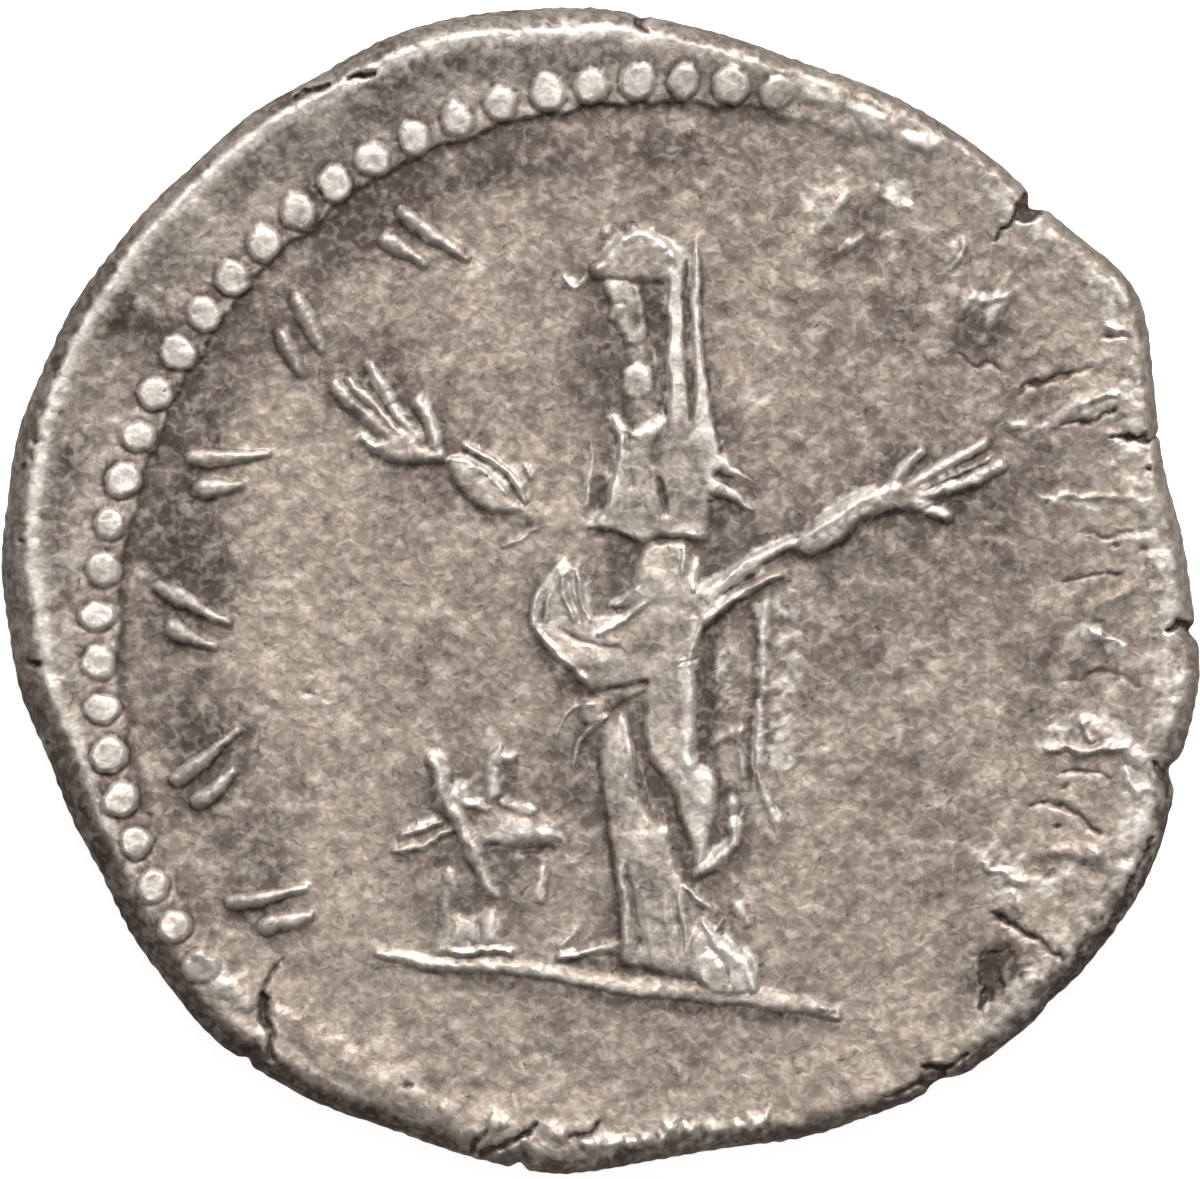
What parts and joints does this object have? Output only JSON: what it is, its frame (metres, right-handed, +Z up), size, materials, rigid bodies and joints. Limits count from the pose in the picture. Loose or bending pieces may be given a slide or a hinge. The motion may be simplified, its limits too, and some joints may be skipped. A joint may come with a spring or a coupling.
{
  "type": "denarius coin",
  "caption": "Worn hammered silver coin with a veiled figure raising both hands beside a small altar, in a ring of beads struck off centre on an uneven flan.",
  "frame": {"origin": "under the middle of the flan's outline, on the plane that the coin rests on", "axes": "+Z up out of the reverse face, +Y towards the top of the reverse design, +X to the right of it"},
  "size_m": [0.0192, 0.0186, 0.0016],
  "materials": {
    "silver": "worn and toned silver, satin, brighter on the high points and darker in the recesses"
  },
  "bodies": {
    "root": {"coin": "silver"}
  },
  "joints": []
}
